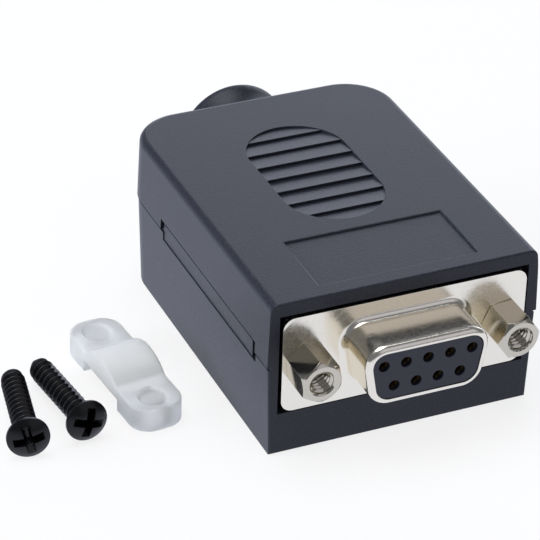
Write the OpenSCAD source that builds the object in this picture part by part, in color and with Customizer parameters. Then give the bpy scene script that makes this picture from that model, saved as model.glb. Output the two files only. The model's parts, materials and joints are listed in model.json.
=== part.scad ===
// Nine-way D-sub socket with screw terminals on a board, in a two-part snap-together hood.
// Its cable clamp and the clamp's two screws lie beside it. All sizes are millimetres.
// +Z is up, the connector faces -Y, and the origin is the middle of the hood's flat underside.

/* [Hood] */
// Length of the hood from its front face to its back face
hood_len = 45.7; // [44.7:0.1:60]
// Hood beside the connector's window, at the seam
frame_side = 1.42; // [1.2:0.02:3]
// Hood above the connector's window
frame_top = 1.72; // [1.7:0.02:4]
// Thickness of the side walls and the back wall
wall = 1.8; // [1.4:0.1:2.2]
// Thickness of the front wall
front_wall = 1.8; // [1.2:0.1:2]
// Thickness of the floor
floor_t = 1.8; // [1.2:0.1:3]
// Thickness of the roof
roof_t = 1.6; // [1.3:0.1:2.2]
// Draft of the outer side walls in degrees
draft = 1.7; // [0.5:0.1:3]
// How far the upper half overhangs the lower half at the seam
seam_step = 0.15; // [0.05:0.05:0.3]
// Radius of the two back corners
back_r = 6.5; // [4:0.5:9]
// Radius of the roof's edge
roof_edge_r = 1; // [0.3:0.1:1.2]
// Radius of the lower half's edge at the seam
seam_edge_r = 0.35; // [0.1:0.05:0.5]

/* [Grip and label] */
// Width of the finger grip
grip_w = 12.6; // [8:0.1:18]
// Length of the finger grip
grip_len = 22.7; // [18:0.1:26]
// Distance of the grip's middle behind the hood's middle
grip_back = 2.85; // [0:0.05:4]
// Length of one grip tooth
grip_pitch = 3; // [2.9:0.1:4]
// Height of a grip tooth's step
grip_depth = 0.35; // [0.2:0.05:0.8]
// Width of the label pocket
label_w = 20; // [12:0.5:26]
// Length of the label pocket
label_len = 9.8; // [6:0.1:10]
// Distance of the label pocket from the hood's front face
label_front = 2.25; // [1:0.05:2.5]
// Depth of the label pocket
label_depth = 0.25; // [0.2:0.05:0.8]

/* [Side latches] */
// Length of the notch for the latch tongue in the upper half
latch_len = 29; // [20:0.1:30]
// Distance of that notch from the hood's front face
latch_front = 3.65; // [3.4:0.05:8]
// Height of the latch tongue above the seam, and of its recess below the seam
latch_h = 1.4; // [0.8:0.1:2.5]
// Depth of the tongue's face behind the lower half's side
latch_recess = 0.15; // [0.1:0.05:0.5]
// Open slot in front of the tongue
latch_slot = 1.2; // [0.3:0.05:1.4]
// Gap between the tongue's rear end and its notch
latch_gap = 0.4; // [0.2:0.05:1]
// Gap above the tongue
tongue_gap = 0.55; // [0.15:0.05:0.7]
// Thickness of the lip inside the upper half that stands behind the tongue
lip_t = 1; // [0.7:0.1:1.1]
// Depth of that lip below the seam
lip_h = 1.8; // [1:0.1:3]
// Room between the lip and the lower half's wall
lip_gap = 0.1; // [0.05:0.01:0.2]

/* [Cable outlet] */
// Length of the neck behind the hood's back face
neck_len = 5.3; // [4:0.1:10]
// Radius of the neck's rim
neck_r = 7.1; // [6.5:0.05:7.5]
// Radius of the neck's waist
waist_r = 6; // [5.5:0.05:6.5]
// Thickness of the neck's rim
neck_rim = 0.6; // [0.3:0.1:1.5]
// Radius of the cable hole
outlet_r = 4.6; // [3:0.1:5]
// Distance of the clamp's screw bosses from the hood's back face
boss_back = 8.2; // [6:0.1:9]
// Radius of a screw boss
boss_r = 2.8; // [2.2:0.1:3.2]
// Radius of a boss's pilot hole
pilot_r = 1.2; // [0.8:0.05:1.4]
// Depth of a boss's pilot hole
pilot_depth = 8; // [4:0.5:9]
// Drop of the boss's seat below the cable's axis
seat_drop = 1; // [0.5:0.1:3]
// Thickness of the cable saddle between the bosses
saddle_t = 1.6; // [1:0.1:3]

/* [Connector] */
// Width of the flange
flange_w = 30.81; // [30:0.01:32]
// Height of the flange
flange_h = 12.55; // [12:0.01:13]
// Corner radius of the flange
flange_r = 1.5; // [0.5:0.1:2.5]
// Thickness of the drawn sheet
sheet_t = 0.5; // [0.3:0.05:0.7]
// How far the flange stands in front of the hood
flange_proud = 0.25; // [0:0.05:0.4]
// Gap between the flange and the hood's window
window_gap = 0.33; // [0.2:0.01:0.5]
// Distance of a jack socket's axis from the flange's end
jack_edge = 2.91; // [2.8:0.01:3.1]
// Distance of the upper row's outer contacts from the shell's sides
contact_edge = 2.71; // [2.6:0.01:2.8]
// Distance between the two rows of contacts
row_gap = 2.84; // [2.6:0.01:3]
// Length of the shell in front of the flange
nose_len = 6.1; // [5.5:0.05:7]
// Distance of the shell's sides from the flange's ends
nose_edge = 7.155; // [7:0.005:7.4]
// Height of the shell
nose_h = 7.9; // [7.6:0.01:8.2]
// Corner radius of the shell
nose_r = 2.6; // [2:0.1:3]
// Slope of the shell's ends in degrees
nose_slope = 10; // [6:0.5:12]
// Radius of the shell's turned-in rim
rim_r = 0.8; // [0.75:0.01:0.95]
// Radius between the shell and the flange
root_r = 0.8; // [0.3:0.1:1.2]
// Radius of the holes in the insulator's face
socket_r = 0.68; // [0.6:0.01:0.75]
// Radius of a contact's barrel
barrel_r = 0.85; // [0.8:0.01:0.95]
// Radius of a contact's tail
tail_r = 0.32; // [0.25:0.01:0.36]
// Distance of the lower row's tails behind the flange's front
tail_back = 7.4; // [7:0.1:8]
// Height of the connector's axis above the board
axis_above_board = 6.3; // [6.28:0.01:6.5]

/* [Jack sockets] */
// Distance across the flats of a jack socket
jack_af = 4.75; // [4.5:0.05:5]
// Length of a jack socket in front of the flange
jack_len = 4.74; // [4:0.02:6]
// Radius of the thread's outer diameter
jack_bore_r = 1.42; // [1.3:0.01:1.5]
// Depth of the threaded hole
jack_bore_len = 4.2; // [3:0.1:5]
// Radius of the countersunk mouth
jack_mouth_r = 1.65; // [1.55:0.01:1.8]
// Turn of the left jack socket in degrees
jack_turn_left = 36; // [0:1:60]
// Turn of the right jack socket in degrees
jack_turn_right = 5; // [0:1:60]
// Radius of a jack socket's stud
stud_r = 1.38; // [1.2:0.01:1.4]

/* [Board] */
// Thickness of the circuit board
board_t = 1.6; // [1:0.1:2]
// Length of the circuit board
board_len = 26.6; // [26.6:0.1:28]
// Gap between the board and the hood's walls
board_gap = 0.4; // [0.2:0.05:0.6]
// Height of the board's posts above the floor
post_h = 2.4; // [2.4:0.1:5]
// Radius of a board post
post_r = 2; // [1.5:0.1:2.2]
// Radius of the pin on a board post
post_pin_r = 0.95; // [0.6:0.05:1.1]

/* [Terminals] */
// Distance of the row of poles from the hood's inner side walls
pole_side = 2.505; // [2.4:0.005:2.7]
// Depth of the terminal block
block_d = 6.6; // [6.5:0.1:7]
// Width of a rising cage
cage_w = 1.9; // [1.7:0.01:2]
// Length of a rising cage
cage_len = 3.4; // [2.6:0.1:3.5]
// Travel of a rising cage
cage_travel = 1.6; // [1:0.1:1.8]
// Clear height under the contact bar when the cage is down
wire_gap = 2.2; // [2:0.1:2.6]
// Radius of a terminal screw's shank
shank_r = 0.6; // [0.45:0.01:0.65]
// Radius of a terminal screw's head
head_r = 0.95; // [0.85:0.01:0.98]
// Height of a terminal screw's head
head_h = 1.1; // [0.8:0.1:1.6]

/* [Cable clamp] */
// Distance between the clamp's screw holes
clamp_gap = 15; // [13.5:0.1:16]
// Width of the clamp
clamp_w = 6.6; // [6:0.1:8]
// Length of a pad beyond its screw hole
clamp_end = 2.9; // [2.8:0.1:4]
// Corner radius of the clamp's ends
clamp_r = 2.6; // [1:0.1:2.9]
// Thickness of the pads
clamp_t = 3.1; // [2.5:0.1:4]
// Length of the arch between the feet
arch_len = 9; // [6:0.1:9.2]
// Height of the arch under the clamp
arch_h = 1.5; // [0.8:0.1:1.8]
// Length of the hump on top
hump_len = 8.4; // [6:0.1:9]
// Height of the hump above the pads
hump_h = 1.6; // [0.8:0.1:2.5]
// Radius of a screw hole in the clamp
clamp_hole_r = 1.6; // [1.55:0.05:2]
// Depth of the countersink round a screw hole
countersink = 0.35; // [0.1:0.05:0.6]

/* [Clamp screws] */
// Radius of a clamp screw's thread
screw_r = 1.5; // [1.25:0.05:1.5]
// Length of a clamp screw under its head
screw_len = 14.2; // [10:0.1:16]
// Radius of a clamp screw's head
screw_head_r = 2.55; // [2.3:0.05:3.2]
// Height of the rim of a clamp screw's head
screw_rim_h = 0.35; // [0.2:0.05:1]
// Height of the dome on a clamp screw's head
screw_dome_h = 0.85; // [0.5:0.05:1.5]

/* [Loose pieces] */
// Distance of the clamp's middle from the hood's side
clamp_beside = 9.7; // [6:0.1:20]
// Place of the clamp's middle along the hood
clamp_along = -3.4; // [-20:0.1:20]
// Turn of the clamp in degrees
clamp_turn = 4.7; // [-20:0.1:20]
// Distance of the outer screw's head from the hood's side
outer_screw_beside = 25.1; // [22:0.1:40]
// Place of the outer screw's head along the hood
outer_screw_along = -12.6; // [-20:0.1:20]
// Turn of the outer screw in degrees
outer_screw_turn = -11.3; // [-20:0.1:0]
// Distance of the inner screw's head from the hood's side
inner_screw_beside = 17.8; // [17:0.1:20]
// Place of the inner screw's head along the hood
inner_screw_along = -11.9; // [-20:0.1:20]
// Turn of the inner screw in degrees
inner_screw_turn = 4; // [0:0.1:10]

/* [Hidden] */
$fn = 48;
poles = 10;
upper_row = 5;
lower_row = 4;
contacts = upper_row + lower_row;
grip_teeth = 8;
// Small overlap that lets a cut pass right through a face
cut = 0.5;
// Room between a piece and the seat that it fits in
fit = 0.05;

// Heights
board_bottom = floor_t + post_h;
board_top = board_bottom + board_t;
axis_h = board_top + axis_above_board;
window_half_h = flange_h / 2 + window_gap;
top_h = axis_h + window_half_h + frame_top;
roof_under = top_h - roof_t;

// Widths and lengths
y_front = -hood_len / 2;
y_back = hood_len / 2;
window_half_w = flange_w / 2 + window_gap;
upper_half_w = window_half_w + frame_side;
lower_half_w = upper_half_w - seam_step;
inner_half_w = lower_half_w - wall;
y_flange = y_front - flange_proud;
y_inside = y_front + front_wall;
y_inside_back = y_back - wall;
inner_r = back_r - wall;
latch_y0 = y_front + latch_front;
latch_y1 = latch_y0 + latch_len;
tongue_top = axis_h + latch_h - tongue_gap;
lip_end = 1.5;
lip_web = 1.5;
grip_peak = 0.05;
neck_root = 1;
saddle_drop = 1;
post_pin_rise = 0.6;
lip_inner = inner_half_w - lip_gap - lip_t;

// Spacing across the connector and the terminals
nose_w = flange_w - 2 * nose_edge;
jack_gap = flange_w - 2 * jack_edge;
pitch = (nose_w - 2 * contact_edge) / (upper_row - 1);
pole_pitch = 2 * (inner_half_w - pole_side) / poles;

// Centres of the D outline's corner arcs: d_top and d_low across, d_rise above and below the axis
d_rise = nose_h / 2 - nose_r;
d_top = nose_w / 2 - nose_r * tan(nose_slope) - nose_r / cos(nose_slope);
d_low = d_top - 2 * d_rise * tan(nose_slope);

// Connector pieces behind the flange, measured from the flange's front face
shoulder_side = 2.7;
shoulder_rise = 3.7;
shoulder_len = 3.4;
shoulder_half_w = upper_row * pitch / 2 + shoulder_side;
shoulder_half_h = row_gap / 2 + shoulder_rise;
shoulder_end = sheet_t + shoulder_len;
insulator_back = 0.1;
insulator_face = nose_len - insulator_back;
ear_gap = 0.1;
ear_room = 0.3;
ear_len = 2.9;
ear_drop = 0.2;
ear_inner = shoulder_half_w + ear_gap;
ear_outer = inner_half_w - ear_room;
ear_end = sheet_t + ear_len;
arm_t = 0.9;
arm_h = 3.3;
comb_edge = 1.8;
comb_start = tail_back - comb_edge;
comb_end = tail_back + row_gap + comb_edge;
comb_h = 1.6;
lock_t = 0.5;
lock_room = 0.17;
lock_half_w = jack_gap / 2 - ear_inner - arm_t - lock_room;
lock_rim = 0.3;
stud_gap = 0.15;
tail_gap = 0.1;
drill_gap = 0.12;
insert_r = 2.1;
insert_flange_r = 2.5;
insert_flange_t = 1;
prong_w = 0.9;
prong_drop = 1.2;
bend_r = 0.8;
tail_drop = 1.2;
mouth_len = 0.9;
contact_bore_r = 0.52;
contact_bore_len = 4.6;
contact_slot = 0.2;
contact_slot_len = 3;

// Board and terminals
board_half_w = inner_half_w - board_gap;
board_y0 = y_inside + board_gap;
board_y1 = board_y0 + board_len;
post_edge = 0.2;
post_room = 0.4;
post_x = board_half_w - post_r - post_edge;
post_y = [y_flange + comb_end + post_r + post_room, board_y1 - post_r - post_edge];
chamber_wall = 0.8;
chamber_gap = 0.07;
chamber_w = cage_w + 2 * chamber_gap;
block_end_wall = 0.6;
block_half_w = poles * pole_pitch / 2 + block_end_wall;
block_floor = 0.6;
cage_gap = 0.1;
cage_rest = block_floor + cage_gap;
cage_plate = 0.6;
cage_top_plate = 1.2;
cage_side = 0.22;
bar_t = 0.5;
bar_w = cage_w - 2 * cage_side - 2 * cage_gap;
bar_z = cage_rest + cage_plate + wire_gap;
cage_h = cage_plate + wire_gap + bar_t + cage_gap + cage_top_plate;
ceiling = cage_rest + cage_h + cage_travel + cage_gap;
ceiling_t = 0.5;
ledge = ceiling + ceiling_t;
head_drop = 0.2;
block_h = ledge + head_h + head_drop;
block_room = 0.2;
block_y0 = board_y1 - 2 * (post_r + post_edge) - block_room - block_d;
pin_w = 0.8;
pin_t = 0.6;
pin_room = 0.2;
pin_y = chamber_wall + pin_room;
cage_room = 0.3;
cage_y = pin_y + pin_t + cage_room;
screw_y = cage_y + cage_len / 2;

// Cable clamp and its screws where they lie, seen from above
boss_y = y_back - boss_back;
boss_x = clamp_gap / 2;
clamp_len = clamp_gap + 2 * clamp_end;
clamp_place = [-upper_half_w - clamp_beside, clamp_along];
screw_place = [
    [-upper_half_w - outer_screw_beside, outer_screw_along],
    [-upper_half_w - inner_screw_beside, inner_screw_along]
];
screw_turn = [outer_screw_turn, inner_screw_turn];
recess_turn = [-12, 16];
screw_tilt = asin((screw_head_r - screw_r) / screw_len);

function mirrored(p) = [for (i = [len(p) - 1:-1:0]) [-p[i][0], p[i][1]]];
function both_sides(p) = concat(p, mirrored(p));
function contact_x(i) = i <= upper_row
    ? ((upper_row + 1) / 2 - i) * pitch
    : ((lower_row + 1) / 2 - (i - upper_row)) * pitch;
function contact_z(i) = (i <= upper_row ? 1 : -1) * row_gap / 2;
function tail_y(i) = tail_back + (i <= upper_row ? row_gap : 0);
function pole_x(i) = (i - (poles + 1) / 2) * pole_pitch;

// The side of a hood section from bottom to top, with half-widths w0 and w1 and a rounded top edge
function side_profile(w0, w1, z0, z1, edge) = concat(
    [[w0, z0]],
    edge == 0 ? [[w1, z1]] : [for (a = [0:15:90]) [w1 - edge + edge * cos(a), z1 - edge + edge * sin(a)]]
);

// A hood-shaped body: a drafted section carried back along both sides and round the back corners
module hood_form(w, ya, yb, r, w0, w1, z0, z1, edge = 0) {
    cx = w - r;
    cy = yb - r;
    side = side_profile(w0, w1, z0, z1, edge);
    turned = [for (p = side) [p[0] - cx, p[1]]];
    round_part = concat([[0, z0]], turned, [[0, z1]]);
    translate([0, cy, 0])
        rotate([90, 0, 0])
            linear_extrude(cy - ya)
                polygon(both_sides(side));
    for (m = [0, 1])
        mirror([m, 0, 0])
            translate([cx, cy, 0])
                rotate_extrude(angle = 90)
                    polygon(round_part);
    translate([-cx, cy, 0])
        rotate([90, 0, 90])
            linear_extrude(2 * cx)
                polygon(round_part);
}

module hood_cavity(z0, z1) {
    hood_form(inner_half_w, y_inside, y_inside_back, inner_r, inner_half_w, inner_half_w, z0, z1);
}

// A copy on each side of the hood
module each_side() {
    children();
    mirror([1, 0, 0])
        children();
}

// A box from its two opposite corners
module box(a, b) {
    translate(a)
        cube(b - a);
}

// Moves what was drawn from the flange's front face to its place in the hood
module at_flange() {
    translate([0, y_flange, axis_h])
        children();
}

// Turns a shape drawn in the connector's face so that its height runs back along +Y
module facing_front() {
    rotate([90, 0, 0])
        mirror([0, 0, 1])
            children();
}

module neck_section() {
    run = neck_len - neck_rim - neck_root;
    depth = neck_r - waist_r;
    hollow_r = (run * run + depth * depth) / (2 * depth);
    difference() {
        translate([0, -wall / 2])
            square([neck_r, neck_len + wall / 2]);
        translate([waist_r + hollow_r, neck_root])
            circle(hollow_r, $fn = 96);
    }
}

module neck() {
    translate([0, y_back, axis_h])
        rotate([-90, 0, 0])
            rotate_extrude()
                neck_section();
}

module outlet_hole() {
    translate([0, y_inside_back - cut, axis_h])
        rotate([-90, 0, 0])
            cylinder(r = outlet_r, h = wall + neck_len + 2 * cut);
}

module window() {
    box([-window_half_w, y_front - cut, axis_h - window_half_h],
        [window_half_w, y_inside, axis_h + window_half_h]);
}

// Everything above or below the seam, as a cutter
module half_space(up) {
    reach = 2 * hood_len;
    translate([-reach / 2, -reach / 2, up ? axis_h : axis_h - reach])
        cube(reach);
}

module grip_outline() {
    end = grip_len / 2 - grip_w / 2;
    square([grip_w, 2 * end], center = true);
    for (s = [-1, 1])
        translate([0, s * end])
            circle(grip_w / 2);
}

// Sawtooth floor: each strip starts at the surface and falls towards the back
module grip_teeth_cut() {
    y0 = -grip_teeth * grip_pitch / 2;
    peak = top_h - grip_peak;
    teeth = [for (k = [0:grip_teeth - 1], end = [0, 1])
        [y0 + (k + end) * grip_pitch, end == 0 ? peak : top_h - grip_depth]];
    translate([-grip_w, 0, 0])
        rotate([90, 0, 90])
            linear_extrude(2 * grip_w)
                polygon(concat([[y0, top_h + cut]], teeth, [[-y0, top_h + cut]]));
}

module grip() {
    translate([0, grip_back, 0])
        intersection() {
            translate([0, 0, top_h - grip_depth - cut])
                linear_extrude(grip_depth + 2 * cut)
                    grip_outline();
            grip_teeth_cut();
        }
}

module label_pocket() {
    y0 = y_front + label_front;
    box([-label_w / 2, y0, top_h - label_depth], [label_w / 2, y0 + label_len, top_h + cut]);
}

// The lip hangs behind the tongue and joins the upper half's wall above the notch
module latch_lip() {
    y0 = latch_y0 + lip_end;
    y1 = latch_y1 - lip_end;
    web_top = axis_h + latch_h + lip_web;
    box([lip_inner, y0, axis_h - lip_h], [inner_half_w - lip_gap, y1, web_top]);
    box([lip_inner, y0, axis_h + latch_h], [inner_half_w + cut, y1, web_top]);
}

module latch_notch() {
    box([inner_half_w - cut, latch_y0, axis_h - cut], [upper_half_w + cut, latch_y1, axis_h + latch_h]);
}

module upper_hood() {
    top_half_w = upper_half_w - (top_h - axis_h) * tan(draft);
    color("dimgray")
        difference() {
            union() {
                difference() {
                    hood_form(upper_half_w, y_front, y_back, back_r,
                        upper_half_w, top_half_w, axis_h, top_h, roof_edge_r);
                    hood_cavity(axis_h - cut, roof_under);
                    each_side()
                        latch_notch();
                }
                intersection() {
                    neck();
                    half_space(true);
                }
                each_side()
                    latch_lip();
            }
            window();
            outlet_hole();
            grip();
            label_pocket();
        }
}

module board_post(x, y) {
    translate([x, y, floor_t - cut])
        cylinder(r = post_r, h = post_h + cut);
    translate([x, y, board_bottom - cut])
        cylinder(r = post_pin_r, h = board_t + post_pin_rise + cut);
}

module clamp_boss() {
    translate([boss_x, boss_y, floor_t - cut])
        difference() {
            cylinder(r = boss_r, h = axis_h - seat_drop - floor_t + cut);
            translate([0, 0, axis_h - seat_drop - floor_t + cut - pilot_depth])
                cylinder(r = pilot_r, h = pilot_depth + cut);
        }
}

module cable_saddle() {
    difference() {
        box([-boss_x, boss_y - saddle_t / 2, floor_t - cut],
            [boss_x, boss_y + saddle_t / 2, axis_h - seat_drop - saddle_drop]);
        translate([0, boss_y - saddle_t, axis_h])
            rotate([-90, 0, 0])
                cylinder(r = outlet_r, h = 2 * saddle_t);
        each_side()
            translate([boss_x, boss_y, floor_t])
                cylinder(r = pilot_r + fit, h = axis_h);
    }
}

module latch_tongue() {
    face = lower_half_w - latch_recess;
    box([inner_half_w, latch_y0 + latch_slot, axis_h - latch_h],
        [face, latch_y1 - latch_gap, tongue_top]);
}

// Recess of the tongue's face below the seam, with the open slot at its front end
module latch_recess_cut() {
    face = lower_half_w - latch_recess;
    box([face, latch_y0, axis_h - latch_h], [lower_half_w + cut, latch_y1 - latch_gap, axis_h + cut]);
    box([inner_half_w - cut, latch_y0, axis_h - latch_h],
        [lower_half_w + cut, latch_y0 + latch_slot, axis_h + cut]);
}

module lower_hood() {
    bottom_half_w = lower_half_w - axis_h * tan(draft);
    color("dimgray")
        difference() {
            union() {
                difference() {
                    hood_form(lower_half_w, y_front, y_back, back_r,
                        bottom_half_w, lower_half_w, 0, axis_h, seam_edge_r);
                    hood_cavity(floor_t, axis_h + cut);
                    each_side()
                        latch_recess_cut();
                }
                intersection() {
                    neck();
                    half_space(false);
                }
                each_side() {
                    latch_tongue();
                    board_post(post_x, post_y[0]);
                    board_post(post_x, post_y[1]);
                    clamp_boss();
                }
                cable_saddle();
            }
            window();
            outlet_hole();
        }
}

// Points of an arc about a centre
function arc(c, r, a0, a1, n) =
    [for (k = [0:n]) c + r * [cos(a0 + (a1 - a0) * k / n), sin(a0 + (a1 - a0) * k / n)]];

// Outline of the D-shaped shell, moved inwards by d
function d_outline(d) = both_sides(concat(
    arc([d_low, -d_rise], nose_r - d, -90, -nose_slope, 7),
    arc([d_top, d_rise], nose_r - d, -nose_slope, 90, 8)
));

// The D outline moved inwards by d, from a distance ahead of the flange's front to a distance behind it
module d_prism(d, ahead, behind) {
    translate([0, 0, -ahead])
        linear_extrude(ahead + behind)
            polygon(d_outline(d));
}

// A solid through rings of the D outline, from back to front; each ring is [moved inwards by, place]
module d_rings(rings) {
    n = len(d_outline(0));
    last = (len(rings) - 1) * n;
    polyhedron(
        points = [for (g = rings) for (p = d_outline(g[0])) [p[0], p[1], g[1]]],
        faces = concat(
            [[for (k = [n - 1:-1:0]) k]],
            [for (j = [0:n:last - 1]) for (k = [0:n - 1])
                [j + k, j + (k + 1) % n, j + n + (k + 1) % n, j + n + k]],
            [[for (k = [0:n - 1]) last + k]]
        )
    );
}

module rounded_plate(w, h, r, t) {
    linear_extrude(t) {
        square([w - 2 * r, h], center = true);
        square([w, h - 2 * r], center = true);
        for (x = [-1, 1], y = [-1, 1])
            translate([x * (w / 2 - r), y * (h / 2 - r)])
                circle(r);
    }
}

module front_shell() {
    bend = [0:22.5:90];
    outside = concat(
        [[-root_r, sheet_t / 2]],
        [for (a = bend) [root_r * (sin(a) - 1), -root_r * (1 - cos(a))]],
        [for (a = bend) [rim_r * (1 - cos(a)), rim_r * (1 - sin(a)) - nose_len]]
    );
    bend_r = rim_r - sheet_t;
    inside = concat(
        [[sheet_t, sheet_t + cut]],
        [for (a = bend) [rim_r - bend_r * cos(a), rim_r - bend_r * sin(a) - nose_len]],
        [[rim_r, -nose_len - cut]]
    );
    color("silver")
        at_flange()
            facing_front()
                difference() {
                    union() {
                        rounded_plate(flange_w, flange_h, flange_r, sheet_t);
                        d_rings(outside);
                    }
                    d_rings(inside);
                    for (s = [-1, 1])
                        translate([s * jack_gap / 2, 0, -cut])
                            cylinder(r = stud_r + stud_gap, h = sheet_t + 2 * cut);
                }
}

module front_insulator() {
    color([0.16, 0.16, 0.2])
        at_flange()
            facing_front()
                difference() {
                    union() {
                        d_prism(sheet_t + fit, nose_len - rim_r - fit, sheet_t);
                        d_prism(rim_r + fit, insulator_face, 0);
                        translate([-shoulder_half_w, -shoulder_half_h, sheet_t])
                            cube([2 * shoulder_half_w, 2 * shoulder_half_h, shoulder_end - sheet_t]);
                    }
                    for (i = [1:contacts])
                        translate([contact_x(i), contact_z(i), -insulator_face]) {
                            translate([0, 0, -cut])
                                cylinder(r = socket_r, h = mouth_len + 2 * cut);
                            translate([0, 0, mouth_len])
                                cylinder(r = barrel_r + fit, h = insulator_face + shoulder_end + cut);
                        }
                }
}

// A turned socket with two spring slots, and a tail that bends down through the board
module socket_contact(i) {
    start = mouth_len + fit - insulator_face;
    tail_low = board_bottom - tail_drop - axis_h;
    straight = tail_y(i) - bend_r - shoulder_end;
    color("goldenrod")
        at_flange()
            translate([contact_x(i), 0, contact_z(i)]) {
                translate([0, start, 0])
                    rotate([-90, 0, 0])
                        difference() {
                            cylinder(r = barrel_r, h = shoulder_end - start);
                            translate([0, 0, -cut])
                                cylinder(r = contact_bore_r, h = contact_bore_len + cut);
                            translate([-contact_slot / 2, -barrel_r - cut, -cut])
                                cube([contact_slot, 2 * barrel_r + 2 * cut, contact_slot_len + cut]);
                        }
                translate([0, shoulder_end - fit, 0])
                    rotate([-90, 0, 0])
                        cylinder(r = tail_r, h = straight + fit);
                translate([0, tail_y(i) - bend_r, -bend_r])
                    rotate([90, 0, 90])
                        rotate_extrude(angle = 90)
                            translate([bend_r, 0])
                                circle(tail_r);
                translate([0, tail_y(i), tail_low - contact_z(i)])
                    cylinder(r = tail_r, h = contact_z(i) - bend_r - tail_low);
            }
}

// Moulded frame behind the flange: an ear round each insert and a comb that guides the tails
module rear_bracket() {
    low = -axis_above_board;
    color([0.2, 0.2, 0.23])
        at_flange()
            difference() {
                union() {
                    each_side() {
                        box([ear_inner, sheet_t, low], [ear_outer, ear_end, flange_h / 2 - ear_drop]);
                        box([ear_inner, sheet_t, low], [ear_inner + arm_t, comb_end, low + arm_h]);
                    }
                    box([-ear_inner - arm_t, comb_start, low], [ear_inner + arm_t, comb_end, low + comb_h]);
                }
                each_side()
                    translate([jack_gap / 2, 0, 0])
                        rotate([-90, 0, 0])
                            cylinder(r = insert_r + fit, h = ear_end + cut);
                for (i = [1:contacts])
                    translate([contact_x(i), tail_y(i), low - cut])
                        cylinder(r = tail_r + tail_gap, h = comb_h + 2 * cut);
            }
}

module threaded_insert(s) {
    end = ear_end + lock_t;
    color("khaki")
        at_flange()
            translate([s * jack_gap / 2, 0, 0])
                rotate([-90, 0, 0])
                    difference() {
                        union() {
                            translate([0, 0, sheet_t])
                                cylinder(r = insert_r, h = end - sheet_t + fit);
                            translate([0, 0, end])
                                cylinder(r = insert_flange_r, h = insert_flange_t);
                        }
                        cylinder(r = stud_r + fit, h = end + insert_flange_t + cut);
                    }
}

// Sheet strap between the ear and the insert's flange, with a split leg through the board
module board_lock(s) {
    low = -axis_above_board;
    leg_low = board_bottom - prong_drop - axis_h;
    color("lightgray")
        at_flange()
            translate([s * jack_gap / 2, ear_end, 0])
                difference() {
                    union() {
                        box([-lock_half_w, 0, low], [lock_half_w, lock_t, 0]);
                        rotate([-90, 0, 0])
                            cylinder(r = insert_r + lock_rim, h = lock_t);
                        for (m = [-1, 1])
                            translate([m * (lock_half_w - prong_w / 2) - prong_w / 2, 0, leg_low])
                                cube([prong_w, lock_t, low - leg_low + cut]);
                    }
                    rotate([-90, 0, 0])
                        translate([0, 0, -cut])
                            cylinder(r = insert_r + fit, h = lock_t + 2 * cut);
                }
}

// Hexagon with a chamfered front end, a countersunk threaded hole and a stud behind the flange
module jack_socket(s) {
    corner_r = jack_af / 2 / cos(30);
    bevel = 0.5;
    stud_len = ear_end + lock_t + insert_flange_t;
    mouth_depth = jack_mouth_r - jack_bore_r;
    color("gainsboro")
        at_flange()
            translate([s * jack_gap / 2, 0, 0])
                rotate([90, 0, 0])
                    difference() {
                        union() {
                            intersection() {
                                rotate([0, 0, s < 0 ? jack_turn_left : jack_turn_right])
                                    cylinder(r = corner_r, h = jack_len, $fn = 6);
                                rotate_extrude()
                                    polygon([[0, -cut], [corner_r + cut, -cut],
                                        [corner_r + cut, jack_len - bevel - cut],
                                        [corner_r - bevel - cut, jack_len + cut], [0, jack_len + cut]]);
                            }
                            translate([0, 0, -stud_len])
                                cylinder(r = stud_r, h = stud_len + cut);
                        }
                        translate([0, 0, jack_len - jack_bore_len])
                            cylinder(r = jack_bore_r, h = jack_bore_len + cut);
                        translate([0, 0, jack_len - mouth_depth])
                            cylinder(r1 = jack_bore_r, r2 = jack_mouth_r, h = mouth_depth);
                    }
}

module circuit_board() {
    drill = board_t + 2 * cut;
    color("seagreen")
        difference() {
            box([-board_half_w, board_y0, board_bottom], [board_half_w, board_y1, board_top]);
            translate([0, 0, board_bottom - cut]) {
                for (i = [1:contacts])
                    translate([contact_x(i), y_flange + tail_y(i), 0])
                        cylinder(r = tail_r + drill_gap, h = drill);
                for (i = [1:poles])
                    translate([pole_x(i), block_y0 + pin_y + pin_t / 2, 0])
                        cylinder(r = norm([pin_w, pin_t]) / 2 + drill_gap, h = drill);
                each_side() {
                    for (y = post_y)
                        translate([post_x, y, 0])
                            cylinder(r = post_pin_r + drill_gap, h = drill);
                    translate([jack_gap / 2, y_flange + ear_end + lock_t / 2, 0])
                        cylinder(r = lock_half_w + drill_gap, h = drill);
                }
            }
        }
}

// Moves what was drawn from a pole's corner of the terminal block to its place on the board
module at_pole(i) {
    translate([pole_x(i), block_y0, board_top])
        children();
}

module terminal_housing() {
    entry_z = cage_rest + cage_plate + wire_gap / 2;
    entry_r = 0.93 * chamber_w / 2;
    entry_flare = 0.2;
    shank_gap = 0.08;
    head_gap = 0.07;
    color("mediumseagreen")
        difference() {
            box([-block_half_w, block_y0, board_top],
                [block_half_w, block_y0 + block_d, board_top + block_h]);
            for (i = [1:poles])
                at_pole(i) {
                    box([-chamber_w / 2, chamber_wall, block_floor],
                        [chamber_w / 2, block_d - chamber_wall, ceiling]);
                    translate([0, block_d - chamber_wall - fit, entry_z])
                        rotate([-90, 0, 0])
                            cylinder(r1 = entry_r, r2 = entry_r + entry_flare, h = chamber_wall + 2 * fit);
                    translate([0, screw_y, ceiling - cut])
                        cylinder(r = shank_r + shank_gap, h = block_h);
                    translate([0, screw_y, ledge])
                        cylinder(r = head_r + head_gap, h = block_h);
                    box([-pin_w / 2 - fit, pin_y - fit, -cut],
                        [pin_w / 2 + fit, pin_y + pin_t + fit, block_floor + cut]);
                }
        }
}

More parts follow.
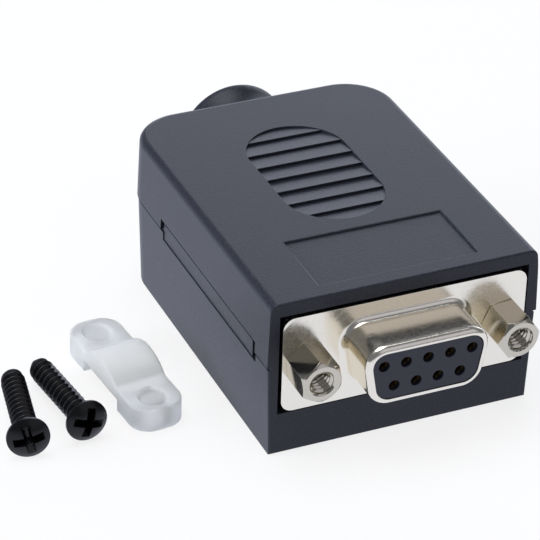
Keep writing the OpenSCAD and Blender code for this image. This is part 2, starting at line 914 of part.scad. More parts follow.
module terminal_screw(i) {
    tip = bar_z + bar_t + fit;
    slot_w = 0.3;
    slot_depth = 0.4 * head_h;
    color("silver")
        at_pole(i)
            translate([0, screw_y, 0])
                difference() {
                    union() {
                        translate([0, 0, tip])
                            cylinder(r = shank_r, h = ledge - tip + fit);
                        translate([0, 0, ledge])
                            cylinder(r = head_r, h = head_h);
                    }
                    translate([-head_r - cut, -slot_w / 2, ledge + head_h - slot_depth])
                        cube([2 * head_r + 2 * cut, slot_w, head_h]);
                }
}

// Square ring that the screw lifts, so that its lower bar presses the wire against the contact bar
module terminal_cage(i) {
    color("gold")
        at_pole(i)
            translate([0, cage_y, cage_rest])
                difference() {
                    box([-cage_w / 2, 0, 0], [cage_w / 2, cage_len, cage_h]);
                    box([-cage_w / 2 + cage_side, -cut, cage_plate],
                        [cage_w / 2 - cage_side, cage_len + cut, cage_h - cage_top_plate]);
                    translate([0, cage_len / 2, cage_h - cage_top_plate - cut])
                        cylinder(r = shank_r + fit, h = cage_top_plate + 2 * cut);
                }
}

// Contact bar through the cage, with its leg down through the board
module terminal_pin(i) {
    color("lightgray")
        at_pole(i) {
            box([-bar_w / 2, pin_y, bar_z],
                [bar_w / 2, block_d - chamber_wall - cage_gap, bar_z + bar_t]);
            box([-pin_w / 2, pin_y, -board_t - tail_drop], [pin_w / 2, pin_y + pin_t, bar_z + fit]);
        }
}

// Strap with two pads, a hump on top and an arch underneath, drawn along +Y on the floor
module cable_clamp() {
    half = clamp_len / 2;
    hump_r = (pow(hump_len / 2, 2) + hump_h * hump_h) / (2 * hump_h);
    color("whitesmoke")
        translate(clamp_place)
            rotate([0, 0, clamp_turn])
                difference() {
                    intersection() {
                        rounded_plate(clamp_w, clamp_len, clamp_r, clamp_t + hump_h);
                        translate([-clamp_w, 0, 0])
                            rotate([90, 0, 90])
                                linear_extrude(2 * clamp_w)
                                    union() {
                                        translate([-half, 0])
                                            square([clamp_len, clamp_t]);
                                        intersection() {
                                            translate([0, clamp_t + hump_h - hump_r])
                                                circle(hump_r, $fn = 96);
                                            translate([-half, clamp_t / 2])
                                                square([clamp_len, clamp_t + hump_h]);
                                        }
                                    }
                    }
                    box([-clamp_w, -arch_len / 2, -cut], [clamp_w, arch_len / 2, arch_h]);
                    for (s = [-1, 1])
                        translate([0, s * clamp_gap / 2, 0]) {
                            translate([0, 0, -cut])
                                cylinder(r = clamp_hole_r, h = clamp_t + 2 * cut);
                            translate([0, 0, clamp_t - countersink - cut])
                                cylinder(r1 = clamp_hole_r - cut, r2 = clamp_hole_r + countersink + cut,
                                    h = countersink + 2 * cut);
                        }
                }
}

// Low-domed screw with a cross recess, lying on its head's rim and its thread
module clamp_screw(k) {
    tip_r = 0.65 * screw_r;
    tip_len = 1.3;
    dome_r = (screw_head_r * screw_head_r + screw_dome_h * screw_dome_h) / (2 * screw_dome_h);
    dome_angle = asin(screw_head_r / dome_r);
    face = -screw_rim_h - screw_dome_h;
    recess_w = 0.4 * screw_head_r;
    recess_reach = 0.72 * screw_head_r;
    recess_depth = 1.1;
    color([0.12, 0.12, 0.13])
        translate([screw_place[k][0], screw_place[k][1], screw_head_r * cos(screw_tilt)])
            rotate([0, 0, screw_turn[k]])
                rotate([-90 - screw_tilt, 0, 0])
                    difference() {
                        rotate_extrude()
                            polygon(concat(
                                [[0, screw_len], [tip_r, screw_len], [screw_r, screw_len - tip_len]],
                                [[screw_r, 0], [screw_head_r, 0]],
                                [for (j = [6:-1:0]) [dome_r * sin(dome_angle * j / 6),
                                    face + dome_r * (1 - cos(dome_angle * j / 6))]]
                            ));
                        for (a = [0, 90])
                            rotate([0, 0, a + recess_turn[k]])
                                translate([-recess_reach, -recess_w / 2, face - cut])
                                    cube([2 * recess_reach, recess_w, recess_depth + cut]);
                    }
}

upper_hood();
lower_hood();
front_shell();
front_insulator();
rear_bracket();
for (i = [1:contacts])
    socket_contact(i);
threaded_insert(-1);  // threaded_insert_left
threaded_insert(1);  // threaded_insert_right
board_lock(-1);  // board_lock_left
board_lock(1);  // board_lock_right
jack_socket(-1);  // jack_socket_left
jack_socket(1);  // jack_socket_right
circuit_board();
terminal_housing();
for (i = [1:poles])
    terminal_screw(i);
for (i = [1:poles])
    terminal_cage(i);
for (i = [1:poles])
    terminal_pin(i);
cable_clamp();
clamp_screw(0);  // clamp_screw_1
clamp_screw(1);  // clamp_screw_2
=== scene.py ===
"""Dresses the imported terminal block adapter: a nine-way D-shaped socket in a black two-part cable
hood, with its translucent cable clamp and two black screws lying beside it. Lengths are millimetres
until a piece is finished, and metres in the studio."""
import json
import math

import bmesh
import bpy
from mathutils import Matrix, Vector


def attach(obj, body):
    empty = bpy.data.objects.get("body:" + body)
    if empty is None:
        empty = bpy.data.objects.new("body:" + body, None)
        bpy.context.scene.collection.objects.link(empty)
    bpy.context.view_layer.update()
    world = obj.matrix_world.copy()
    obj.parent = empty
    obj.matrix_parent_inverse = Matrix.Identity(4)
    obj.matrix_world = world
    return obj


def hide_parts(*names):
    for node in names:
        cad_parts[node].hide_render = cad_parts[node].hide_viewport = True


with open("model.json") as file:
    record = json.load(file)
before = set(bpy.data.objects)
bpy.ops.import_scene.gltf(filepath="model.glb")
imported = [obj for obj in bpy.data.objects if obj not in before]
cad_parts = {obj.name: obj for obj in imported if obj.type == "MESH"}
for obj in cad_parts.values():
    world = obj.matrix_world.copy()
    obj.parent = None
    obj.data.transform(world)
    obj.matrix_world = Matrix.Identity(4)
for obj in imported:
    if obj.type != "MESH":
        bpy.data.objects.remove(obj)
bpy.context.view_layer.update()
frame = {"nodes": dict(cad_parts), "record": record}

MM = 0.001
AXIS_H = 12.1          # height of the connector's axis, and of the seam between the hood's halves
HOOD_FRONT = -22.85    # front face of the hood
LEDGE = 11.75          # height of the ledge under the upper half's overhang
FLANGE_Y = -23.1       # front face of the flange
ROOF = 20.425          # height of the hood's roof
NOSE = 6.1             # how far the D-shaped nose stands in front of the flange
JACK_X = 12.495        # distance of the jack sockets from the middle
BOARD_TOP = 5.8        # upper face of the circuit board
NEAR = 0.01            # a point this near to a height or a face lies on it
WELD = 0.002           # points nearer than this become one

# The middles of the clamp's two holes, and the radius within which their countersinks lie
CLAMP_HOLES = Vector((-27.47, 4.07, 0)), Vector((-26.24, -10.87, 0))
COUNTERSINK = 2.4

# Carries a piece drawn upright, with Z out of the connector, to its place on the flange
FACING = Matrix.Translation((0, FLANGE_Y, AXIS_H)) @ Matrix.Rotation(math.radians(90), 4, "X")


# Materials

def linear(hex_colour):
    """An sRGB hex colour as linear RGBA."""
    parts = [int(hex_colour[i:i + 2], 16) / 255 for i in (1, 3, 5)]
    return [p / 12.92 if p <= 0.04045 else ((p + 0.055) / 1.055) ** 2.4 for p in parts] + [1.0]


def add(tree, kind, inputs=None, **settings):
    """Adds a node with its settings, and fills its inputs with values or links."""
    node = tree.nodes.new(kind)
    for name, value in settings.items():
        setattr(node, name, value)
    for key, value in (inputs or {}).items():
        if isinstance(value, bpy.types.NodeSocket):
            tree.links.new(value, node.inputs[key])
        else:
            node.inputs[key].default_value = value
    return node


def surface(name, colour, **sockets):
    """A new material, its node tree and its shader, whose own sockets take the colour and values."""
    material = bpy.data.materials.new(name)
    material.use_nodes = True
    tree = material.node_tree
    shader = tree.nodes["Principled BSDF"]
    shader.inputs["Base Color"].default_value = linear(colour)
    for key, value in sockets.items():
        shader.inputs[key.replace("_", " ").title().replace("Ior", "IOR")].default_value = value
    return material, tree, shader


def per_mm(size):
    """Texture scale that makes one feature about this many millimetres wide."""
    return 1.0 / (size * MM)


def colour_ramp(tree, shader, value, stops):
    """Colours a surface by a value, between two stops of value and colour."""
    ramp = add(tree, "ShaderNodeValToRGB", {"Fac": value})
    for element, (position, colour) in zip(ramp.color_ramp.elements, stops):
        element.position = position
        element.color = linear(colour)
    tree.links.new(ramp.outputs["Color"], shader.inputs["Base Color"])


def grain(tree, shader, width, height, rough, tint=None):
    """Fine relief of one width and height in millimetres, with a spread of roughness and, where asked
    for, of colour."""
    least, most = 0.3, 0.7    # nearly all of the noise lies between these
    place = add(tree, "ShaderNodeTexCoord").outputs["Object"]
    noise = add(tree, "ShaderNodeTexNoise",
                {"Vector": place, "Scale": per_mm(width), "Detail": 2.0}).outputs["Fac"]
    bump = add(tree, "ShaderNodeBump", {"Height": noise, "Distance": height * MM, "Strength": 1.0})
    tree.links.new(bump.outputs["Normal"], shader.inputs["Normal"])
    spread = add(tree, "ShaderNodeMapRange",
                 {"Value": noise, "From Min": least, "From Max": most,
                  "To Min": rough[0], "To Max": rough[1]})
    tree.links.new(spread.outputs["Result"], shader.inputs["Roughness"])
    if tint:
        colour_ramp(tree, shader, noise, ((least, tint[0]), (most, tint[1])))


def follow_bends(tree, shader, *stops):
    """Colours hollows and crests apart, by stops of bend and colour: 0.5 is flat, less is hollow, and
    more is a crest."""
    bend = add(tree, "ShaderNodeNewGeometry").outputs["Pointiness"]
    colour_ramp(tree, shader, bend, stops)


def hood_abs():
    """Black ABS from a spark-eroded mould: a fine dull grain that scatters light into a soft grey
    sheen."""
    material, tree, shader = surface("moulded_black_abs", "#2a2c35", roughness=0.36, ior=1.38)
    grain(tree, shader, width=0.22, height=0.026, rough=(0.3, 0.44), tint=("#22242b", "#33353f"))
    return material


def nickel_sheet():
    """Drawn steel sheet with dull nickel plate: a warm mirror, blurred by the plate's fine orange
    peel."""
    material, tree, shader = surface("nickel_plated_sheet", "#f4eddd", metallic=1.0, roughness=0.2)
    grain(tree, shader, width=0.25, height=0.0025, rough=(0.15, 0.27))
    return material


def nickel_turned():
    """Turned brass with bright nickel plate: a sharper mirror with faint tool marks, and painted
    shade dark in the thread's hollows."""
    plate, thread_shade = "#cdc6b6", "#1e1b18"
    material, tree, shader = surface("nickel_plated_brass", plate, metallic=1.0, roughness=0.14)
    grain(tree, shader, width=0.15, height=0.0006, rough=(0.1, 0.18))
    # Painted shade: the thread's hollows are coloured near black
    follow_bends(tree, shader, (0.455, thread_shade), (0.495, plate))
    return material


def insulator_polyester():
    """Glass-filled polyester, moulded smooth: a bluish black with a soft gloss."""
    material, tree, shader = surface("moulded_black_polyester", "#292b37", roughness=0.42, ior=1.5)
    grain(tree, shader, width=0.2, height=0.004, rough=(0.38, 0.48))
    return material


def contact_gold():
    """Thin gold flash over brass."""
    material, tree, shader = surface("gold_flashed_brass", "#d8b564", metallic=1.0, roughness=0.25)
    grain(tree, shader, width=0.1, height=0.0006, rough=(0.2, 0.32))
    return material


def tin_plate():
    """Tinned copper alloy: pale, soft-edged reflections."""
    material, tree, shader = surface("tin_plated_bronze", "#c9c8c4", metallic=1.0, roughness=0.34)
    grain(tree, shader, width=0.12, height=0.0008, rough=(0.28, 0.42))
    return material


def solder_mask():
    """Green solder mask on woven glass laminate: glossy, with the weave just showing."""
    material, tree, shader = surface("solder_masked_laminate", "#12512c", roughness=0.3, ior=1.52)
    grain(tree, shader, width=0.6, height=0.004, rough=(0.24, 0.36), tint=("#0f4a27", "#165a32"))
    return material


def terminal_polyamide():
    """Green moulded polyamide: half matt."""
    material, tree, shader = surface("moulded_green_polyamide", "#2f8a4a", roughness=0.48, ior=1.53)
    grain(tree, shader, width=0.25, height=0.006, rough=(0.42, 0.55), tint=("#2b8245", "#34924f"))
    return material


def zinc_steel():
    """Zinc-plated steel."""
    material, tree, shader = surface("zinc_plated_steel", "#b9bbbd", metallic=1.0, roughness=0.3)
    grain(tree, shader, width=0.1, height=0.0008, rough=(0.24, 0.38))
    return material


def clamp_nylon():
    """Natural polyamide: milky, lit from within, with a waxy gloss."""
    material, tree, shader = surface(
        "natural_polyamide", "#f6f6f2", roughness=0.45, ior=1.4, transmission_weight=0.65,
        subsurface_weight=0.8, subsurface_radius=(1.0, 1.0, 1.0), subsurface_scale=2.5 * MM)
    grain(tree, shader, width=0.8, height=0.002, rough=(0.4, 0.5))
    return material


def black_oxide(name, worn_and_highlit):
    """Steel under an oiled black oxide skin: black with a soft gloss. On a thread the crests are
    light grey, partly from wear and partly as a painted highlight."""
    skin, bare_and_highlit = "#070709", "#9a9aa0"
    material, tree, shader = surface(name, skin, roughness=0.3, ior=1.4)
    grain(tree, shader, width=0.12, height=0.0012, rough=(0.24, 0.38))
    if worn_and_highlit:
        # Painted highlight, partly wear: the thread's crests are coloured light grey
        follow_bends(tree, shader, (0.57, skin), (0.62, bare_and_highlit))
    return material


MATERIALS = {
    "hood_plastic": hood_abs(),
    "nickel_sheet": nickel_sheet(),
    "nickel_turned": nickel_turned(),
    "insulator_plastic": insulator_polyester(),
    "contact_brass": contact_gold(),
    "tin_plate": tin_plate(),
    "board_laminate": solder_mask(),
    "terminal_plastic": terminal_polyamide(),
    "terminal_steel": zinc_steel(),
    "clamp_nylon": clamp_nylon(),
    "black_steel": black_oxide("black_oxide_steel", worn_and_highlit=False),
}
THREAD = black_oxide("worn_and_highlit_black_oxide_steel", worn_and_highlit=True)
SLOT_OF = {part["node"]: part["material_slot"] for part in frame["record"]["subparts"]}
BODY_OF = {node: body for body, nodes in frame["record"]["behaviour"]["bodies"].items()
           for node in nodes}

for name, thing in frame["nodes"].items():
    thing.data.materials.clear()
    thing.data.materials.append(MATERIALS[SLOT_OF[name]])


# Pieces

def finish_piece(name, bm, slot, body, stands_for=None, material=None):
    """Turns a finished bmesh into a piece that rides on a body and may stand for a CAD node."""
    crease = math.radians(35.0)
    bmesh.ops.remove_doubles(bm, verts=bm.verts, dist=WELD)
    bmesh.ops.dissolve_degenerate(bm, dist=WELD, edges=bm.edges)
    bmesh.ops.scale(bm, vec=(MM, MM, MM), verts=bm.verts)
    for face in bm.faces:
        face.smooth = True
    for edge in bm.edges:
        edge.smooth = not (len(edge.link_faces) == 2 and edge.calc_face_angle(0.0) > crease)
    mesh = bpy.data.meshes.new(name)
    bm.to_mesh(mesh)
    bm.free()
    mesh.materials.append(material or MATERIALS[slot])
    thing = bpy.data.objects.new(name, mesh)
    bpy.context.scene.collection.objects.link(thing)
    weigh = thing.modifiers.new("flat_faces_stay_flat", "WEIGHTED_NORMAL")
    weigh.keep_sharp = True
    weigh.weight = 100
    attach(thing, body)
    if stands_for:
        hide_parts(stands_for)


def dress(node, bm):
    """Finishes a piece that stands for a CAD node, in that node's material."""
    finish_piece(node + "_dressed", bm, SLOT_OF[node], BODY_OF[node], node)


def join_flats(bm):
    """Merges doubled points, and joins the faces that lie in one plane."""
    bmesh.ops.remove_doubles(bm, verts=bm.verts, dist=WELD)
    bmesh.ops.dissolve_limit(bm, angle_limit=math.radians(0.6), verts=bm.verts, edges=bm.edges)


def cad_copy(node):
    """A copy of a CAD node in millimetres, with doubled points merged and flat faces joined."""
    bm = bmesh.new()
    bm.from_mesh(frame["nodes"][node].data)
    bmesh.ops.scale(bm, vec=(1 / MM, 1 / MM, 1 / MM), verts=bm.verts)
    join_flats(bm)
    return bm


def sharp_edges(bm, least_angle, rule=lambda co: True):
    """Edges where two faces meet at more than this angle, and both ends of which keep to a rule."""
    return [e for e in bm.edges
            if len(e.link_faces) == 2 and e.calc_face_angle(0.0) > math.radians(least_angle)
            and all(rule(v.co) for v in e.verts)]


def round_edges(bm, edges, radius, segments=2):
    """Rounds edges to one radius, or less where the shortest edge beside them leaves less room."""
    bmesh.ops.bevel(bm, geom=edges, offset=radius, offset_type="OFFSET", affect="EDGES",
                    segments=segments, profile=0.5, material=-1, clamp_overlap=True)


def softened(node, radius, rounder=None, more=0.0):
    """A copy of a CAD node with its sharp edges rounded, those that the rule picks to the second
    radius."""
    bm = cad_copy(node)
    if rounder:
        round_edges(bm, sharp_edges(bm, 25.0, rounder), more, 4)
    round_edges(bm, sharp_edges(bm, 40.0), radius)
    return bm


def hood_half(node):
    """A half of the hood with its edges rounded: at the seam, round the front, and round the label
    pocket and the grip. The lower half's ledge is flat, and the grip's steps are a little deeper."""
    seam_x, seam_y = 16.9, 22.0           # the overhang's lower edge lies beyond these
    ledge_x, ledge_y = 16.6, 22.2         # the ledge lies beyond these
    front_x, front_z = 16.0, 19.2         # the front's outer edges lie beyond these
    label_y, grip_y = -10.0, -8.0         # the label pocket ends before, the grip begins after
    step_depth, step_more = 0.35, 0.1     # how deep the grip's steps are, and what is added
    roof = ROOF - 2 * NEAR
    bm = cad_copy(node)
    if node == "upper_hood":
        lowest, highest = AXIS_H + 0.1, ROOF + 1.0    # the front is rounded between these heights
        seam = sharp_edges(bm, 50.0, lambda co: abs(co.z - AXIS_H) < NEAR
                           and (abs(co.x) > seam_x or co.y > seam_y))
        round_edges(bm, seam, 0.14, 3)
    else:
        lowest, highest = -1.0, LEDGE + NEAR
        ledge = [v for v in bm.verts if LEDGE + NEAR / 2 < v.co.z < AXIS_H - NEAR / 2
                 and (abs(v.co.x) > ledge_x or v.co.y > ledge_y)]
        bmesh.ops.scale(bm, vec=(1.0, 1.0, 0.0), space=Matrix.Translation((0, 0, -LEDGE)),
                        verts=ledge)
        join_flats(bm)
    steps = [v for v in bm.verts if abs(v.co.z - ROOF + step_depth) < NEAR and v.co.y > grip_y]
    bmesh.ops.translate(bm, vec=(0, 0, -step_more), verts=steps)

    front = sharp_edges(bm, 50.0, lambda co: co.y < HOOD_FRONT + 0.2 and lowest < co.z < highest
                        and (abs(co.x) > front_x or co.z > front_z))
    off_ledge = [e for e in front if abs(sum(v.co.z for v in e.verts) / 2 - LEDGE) > 0.1]
    round_edges(bm, off_ledge, 0.25, 3)
    label_rims = sharp_edges(bm, 40.0, lambda co: co.z > roof and co.y < label_y)
    round_edges(bm, label_rims, 0.2, 4)
    other_rims = sharp_edges(bm, 40.0, lambda co: co.z > roof)
    round_edges(bm, other_rims, 0.12, 3)
    return bm


def rounded_face(bm, top, low, height, reach_top, reach_low, segments):
    """Adds a flat face with its upper and lower widths and its corners rounded over these lengths."""
    made = bmesh.ops.create_grid(bm, x_segments=1, y_segments=1, size=0.5)["verts"]
    bmesh.ops.scale(bm, vec=(top, height, 1.0), verts=made)
    lower = [v for v in made if v.co.y < 0]
    upper = [v for v in made if v.co.y > 0]
    bmesh.ops.scale(bm, vec=(low / top, 1.0, 1.0), verts=lower)
    for corners, reach in ((upper, reach_top), (lower, reach_low)):
        bmesh.ops.bevel(bm, geom=corners, offset=reach, offset_type="OFFSET", affect="VERTICES",
                        segments=segments, profile=0.5, material=-1)


def front_shell():
    """The drawn shell: a D-shaped nose with a turned-in rim, swept out of its flange round a smooth
    root."""
    root, rim, sheet, steps = 0.8, 0.8, 0.5, 8
    bm = bmesh.new()
    rounded_face(bm, top=30.81, low=30.81, height=12.55, reach_top=1.5, reach_low=1.5, segments=12)
    bmesh.ops.delete(bm, geom=bm.faces[:], context="FACES_ONLY")
    rounded_face(bm, top=18.406, low=15.056, height=9.5, reach_top=4.052, reach_low=2.853,
                 segments=16)
    nose = bm.faces[:]
    bmesh.ops.triangle_fill(bm, edges=bm.edges[:], use_beauty=True)
    bend = [math.radians(90.0 * t / steps) for t in range(steps + 1)]
    rise = [(root * (math.sin(b) - math.sin(a)), root * (math.cos(a) - math.cos(b)))
            for a, b in zip(bend, bend[1:])]
    wall = [(0.0, NOSE - root - rim)]
    turn_in = [(rim * (math.cos(a) - math.cos(b)), rim * (math.sin(b) - math.sin(a)))
               for a, b in zip(bend, bend[1:])]
    for inward, out in rise + wall + turn_in:
        bmesh.ops.inset_region(bm, faces=nose, thickness=inward, depth=out, use_even_offset=True,
                               use_boundary=True)
    bmesh.ops.delete(bm, geom=nose, context="FACES_ONLY")
    bmesh.ops.recalc_face_normals(bm, faces=bm.faces)
    if min(bm.faces, key=lambda f: f.calc_center_median().z).normal.z < 0:
        bmesh.ops.reverse_faces(bm, faces=bm.faces)
    bmesh.ops.solidify(bm, geom=bm.faces[:], thickness=sheet)
    round_edges(bm, sharp_edges(bm, 60.0, lambda co: co.z < NEAR), 0.1)
    bmesh.ops.transform(bm, matrix=FACING, verts=bm.verts)
    return bm


def add_ridge(bm, radius, depth, width, pitch, start, turns):
    """Adds a closed helical ridge about Z, with blunt crests that stand this far out of and into the
    radius."""
    sides, steps = 8, 28    # of the ridge's section, and of one turn
    made = bmesh.ops.create_circle(bm, cap_ends=False, segments=sides, radius=1.0)["verts"]
    blunt = [v for v in made if 0.1 < abs(v.co.x) < 0.9]
    bmesh.ops.scale(bm, vec=(1.3, 0.3, 1.0), verts=blunt)
    place = (Matrix.Translation((radius, 0, start)) @ Matrix.Rotation(math.radians(90), 4, "X")
             @ Matrix.Diagonal((depth, width / 2, 1, 1)))
    bmesh.ops.transform(bm, matrix=place, verts=made)
    profile = made + list(dict.fromkeys(e for v in made for e in v.link_edges))
    bmesh.ops.spin(bm, geom=profile, cent=(0, 0, 0), axis=(0, 0, 1), dvec=(0, 0, pitch / steps),
                   angle=math.tau * turns, steps=round(steps * turns))
    bmesh.ops.holes_fill(bm, edges=[e for e in bm.edges if e.is_boundary], sides=sides)
    bmesh.ops.recalc_face_normals(bm, faces=bm.faces)


def jack_thread(side):
    """The thread inside a jack socket's mouth."""
    bm = bmesh.new()
    add_ridge(bm, radius=1.42, depth=0.34, width=0.5, pitch=0.635, start=1.0, turns=5.3)
    place = Matrix.Translation((side * JACK_X, 0, 0)) @ FACING
    bmesh.ops.transform(bm, matrix=place, verts=bm.verts)
    return bm


def clamp_screw(node, place, turn):
    """A clamp screw: the solid's domed head with its cross recess tapered down into the shank, on a
    coarse thread with a tapered tip. It is drawn head down, and lies on its head and its crests."""
    length, head_r, crest, core = 14.2, 2.55, 1.5, 1.05
    stub, overlap = 1.5, 0.1              # how much of the shank is kept, and runs into the core
    recess_r, recess_floor = 2.0, -0.1    # where the floor of the solid's recess lies
    floor_share, floor_more = 0.3, 0.8    # how much width the floor keeps, and how far it sinks
    shank_least, shank_most = 1.2, 1.6    # the solid's shank lies between these radii
    tip, tip_share = 2.2, 0.3             # length of the tip, and how much of its width it loses
    tilt = math.asin((head_r - crest) / length)
    lie = (Matrix.Translation((*place, head_r * math.cos(tilt)))
           @ Matrix.Rotation(math.radians(turn), 4, "Z")
           @ Matrix.Rotation(-math.pi / 2 - tilt, 4, "X"))
    bm = cad_copy(node)
    bmesh.ops.transform(bm, matrix=lie.inverted(), verts=bm.verts)
    bmesh.ops.bisect_plane(bm, geom=bm.verts[:] + bm.edges[:] + bm.faces[:],
                           plane_co=(0, 0, stub), plane_no=(0, 0, 1), clear_outer=True)
    bmesh.ops.holes_fill(bm, edges=[e for e in bm.edges if e.is_boundary])
    floor = [v for v in bm.verts
             if v.co.xy.length < recess_r and abs(v.co.z - recess_floor) < 2 * NEAR]
    bmesh.ops.scale(bm, vec=(floor_share, floor_share, 1.0), verts=floor)
    bmesh.ops.translate(bm, vec=(0, 0, floor_more), verts=floor)
    shank = [v for v in bm.verts
             if v.co.z > -NEAR / 2 and shank_least < v.co.xy.length < shank_most]
    bmesh.ops.scale(bm, vec=(core / crest, core / crest, 1.0), verts=shank)
    round_edges(bm, sharp_edges(bm, 30.0, lambda co: co.z < 0.5), 0.08, 3)
    bmesh.ops.transform(bm, matrix=lie, verts=bm.verts)
    dress(node, bm)

    bm = bmesh.new()
    add_ridge(bm, radius=core, depth=crest - core, width=0.6, pitch=1.0, start=0.55, turns=13.0)
    bmesh.ops.create_cone(bm, cap_ends=True, segments=32, radius1=core, radius2=core,
                          depth=length - stub + overlap,
                          matrix=Matrix.Translation((0, 0, (length + stub) / 2 - overlap / 2)))
    bmesh.ops.bisect_plane(bm, geom=bm.verts[:] + bm.edges[:] + bm.faces[:],
                           plane_co=(0, 0, length - tip), plane_no=(0, 0, 1))
    for vert in bm.verts:
        taper = max(0.0, (vert.co.z - length + tip) / tip)
        kept = 1 - tip_share * taper ** 2
        bmesh.ops.scale(bm, vec=(kept, kept, 1.0), verts=[vert])
    bmesh.ops.transform(bm, matrix=lie, verts=bm.verts)
    finish_piece(node + "_thread", bm, SLOT_OF[node], BODY_OF[node], material=THREAD)


def board_tracks():
    """Copper tracks under the solder mask, fanning out from the connector's tails and its shell to
    the terminals."""
    front, back, width, thick = -11.6, -4.8, 0.55, 0.06
    tail_pitch, shell_x, pole_pitch = 1.385, 12.4, 2.54
    bm = bmesh.new()
    starts = [tail_pitch * (k - 4) for k in range(9)] + [shell_x]
    for k, start in enumerate(starts):
        end = pole_pitch * (k - 4.5)
        span = Vector((end - start, back - front))
        made = bmesh.ops.create_cube(bm, size=1.0)["verts"]
        lay = (Matrix.Translation(((start + end) / 2, (front + back) / 2, BOARD_TOP))
               @ Matrix.Rotation(-math.atan2(span.x, span.y), 4, "Z")
               @ Matrix.Diagonal((width, span.length, thick, 1)))
        bmesh.ops.transform(bm, matrix=lay, verts=made)
    return bm


def on_flange(co):
    """Whether a point lies on the flange's front face."""
    return abs(co.y - FLANGE_Y) < NEAR


def off_countersinks(co):
    """Whether a point of the clamp lies clear of its countersinks."""
    return all((co - hole).xy.length > COUNTERSINK for hole in CLAMP_HOLES)


for node in ("upper_hood", "lower_hood"):
    dress(node, hood_half(node))
for node, radius in (("front_insulator", 0.04), ("terminal_housing", 0.05),
                     ("rear_bracket", 0.06), ("circuit_board", 0.05)):
    dress(node, softened(node, radius))
for node in ("jack_socket_left", "jack_socket_right"):
    dress(node, softened(node, 0.06, on_flange, 0.16))
dress("cable_clamp", softened("cable_clamp", 0.1, off_countersinks, 0.3))
dress("front_shell", front_shell())
clamp_screw("clamp_screw_1", place=(-42.255, -12.6), turn=-11.3)
clamp_screw("clamp_screw_2", place=(-34.955, -11.9), turn=4.0)
for side, name in ((-1, "left"), (1, "right")):
    finish_piece("jack_thread_" + name, jack_thread(side), "nickel_turned", "base")
finish_piece("board_tracks", board_tracks(), "board_laminate", "base")


# Floor, light and camera

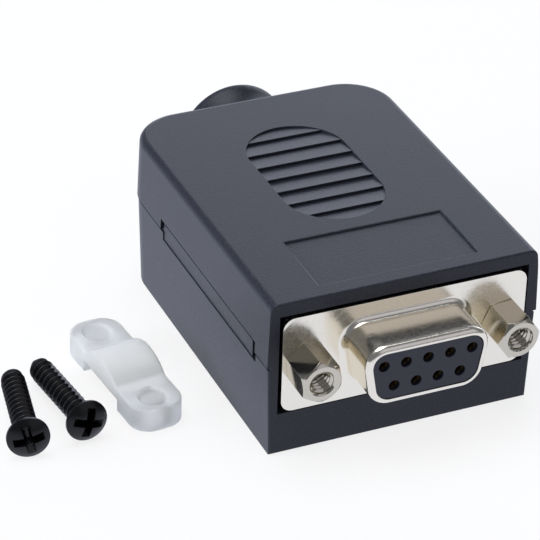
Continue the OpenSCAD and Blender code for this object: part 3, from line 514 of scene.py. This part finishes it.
def studio():
    """A plain white floor that keeps a faint shadow, in a dim, slightly blue room with soft boxes
    behind, in front, above and to the left."""
    near, far, least = 0.08, 0.4, 0.8    # the floor glows least up to near, and fully from far on
    bpy.ops.mesh.primitive_plane_add(size=8.0)
    floor = bpy.context.object
    floor.name = "studio_floor"
    material, tree, shader = surface("white_card", "#a8a8a8", roughness=0.9, specular_ior_level=0.0)
    rays = add(tree, "ShaderNodeLightPath").outputs
    seen = rays["Is Camera Ray"]
    for kind in ("Is Glossy Ray", "Is Transmission Ray"):
        seen = add(tree, "ShaderNodeMath", {0: seen, 1: rays[kind]}, operation="MAXIMUM").outputs[0]
    shaded = add(tree, "ShaderNodeBsdfDiffuse", {"Color": linear("#ffffff")}).outputs[0]
    white = add(tree, "ShaderNodeEmission", {"Color": linear("#ffffff"), "Strength": 1.0}).outputs[0]
    place = add(tree, "ShaderNodeTexCoord").outputs["Object"]
    away = add(tree, "ShaderNodeVectorMath", {0: place}, operation="LENGTH").outputs["Value"]
    share = add(tree, "ShaderNodeMapRange",
                {"Value": away, "From Min": near, "From Max": far,
                 "To Min": least, "To Max": 1.0}).outputs["Result"]
    card = add(tree, "ShaderNodeMixShader", {"Fac": share, 1: shaded, 2: white}).outputs[0]
    cool = add(tree, "ShaderNodeEmission", {"Color": linear("#ebf0ff"), "Strength": 1.0}).outputs[0]
    card = add(tree, "ShaderNodeMixShader",
               {"Fac": rays["Is Glossy Ray"], 1: card, 2: cool}).outputs[0]
    mix = add(tree, "ShaderNodeMixShader", {"Fac": seen, 1: shader.outputs[0], 2: card}).outputs[0]
    tree.links.new(mix, tree.nodes["Material Output"].inputs["Surface"])
    floor.data.materials.append(material)

    world = bpy.data.worlds.new("studio")
    bpy.context.scene.world = world
    world.use_nodes = True
    tree = world.node_tree
    room = tree.nodes["Background"]
    room.inputs["Color"].default_value = linear("#e8eefc")
    room.inputs["Strength"].default_value = 0.2
    backdrop = add(tree, "ShaderNodeBackground", {"Color": linear("#ffffff"), "Strength": 1.0})
    rays = add(tree, "ShaderNodeLightPath").outputs
    seen = add(tree, "ShaderNodeMath",
               {0: rays["Is Camera Ray"], 1: rays["Is Transmission Ray"]}, operation="MAXIMUM")
    mix = add(tree, "ShaderNodeMixShader",
              {"Fac": seen.outputs[0], 1: room.outputs[0], 2: backdrop.outputs[0]}).outputs[0]
    tree.links.new(mix, tree.nodes["World Output"].inputs["Surface"])

    for name, place, size, glow, colour in (
            ("back_box", (0.75, 0.85, 0.36), (1.5, 0.8), 1.8, "#eaf0ff"),
            ("front_box", (0.4, -0.8, 0.6), (1.0, 0.8), 0.42, "#f4f2ff"),
            ("top_box", (-0.1, 0.1, 1.0), (0.8, 0.7), 3.2, "#f8faff"),
            ("left_box", (-0.95, 0.15, 0.22), (0.8, 0.4), 12.0, "#f4f8ff")):
        lamp = bpy.data.lights.new(name, "AREA")
        lamp.shape = "RECTANGLE"
        lamp.size, lamp.size_y = size
        lamp.energy = glow * math.pi * size[0] * size[1]
        lamp.color = linear(colour)[:3]
        thing = bpy.data.objects.new(name, lamp)
        # Mirrored in the hood's roof, the left box would turn it white at a low angle
        thing.visible_glossy = name != "left_box"
        aim = (-Vector(place)).to_track_quat("-Z", "Y").to_matrix().to_4x4()
        thing.matrix_world = Matrix.Translation(place) @ aim
        bpy.context.scene.collection.objects.link(thing)


def photo_camera():
    """The photograph's camera: a long lens from the front left, a third of the way up, turned a
    little clockwise."""
    place = Vector((-128.88, -268.839, 195.55)) * MM
    right = Vector((0.917008, -0.397979, 0.026612))
    up = Vector((0.191612, 0.498058, 0.845709))
    back = Vector((-0.349829, -0.770423, 0.532981))
    camera = bpy.data.cameras.new("photo_camera")
    camera.sensor_width = 36.0
    camera.lens = 192.75
    camera.clip_start = 0.01
    thing = bpy.data.objects.new("photo_camera", camera)
    turn = Matrix((right, up, back)).transposed().to_4x4()
    thing.matrix_world = Matrix.Translation(place) @ turn
    bpy.context.scene.collection.objects.link(thing)
    bpy.context.scene.camera = thing


studio()
photo_camera()
bpy.context.scene.view_settings.view_transform = "Standard"
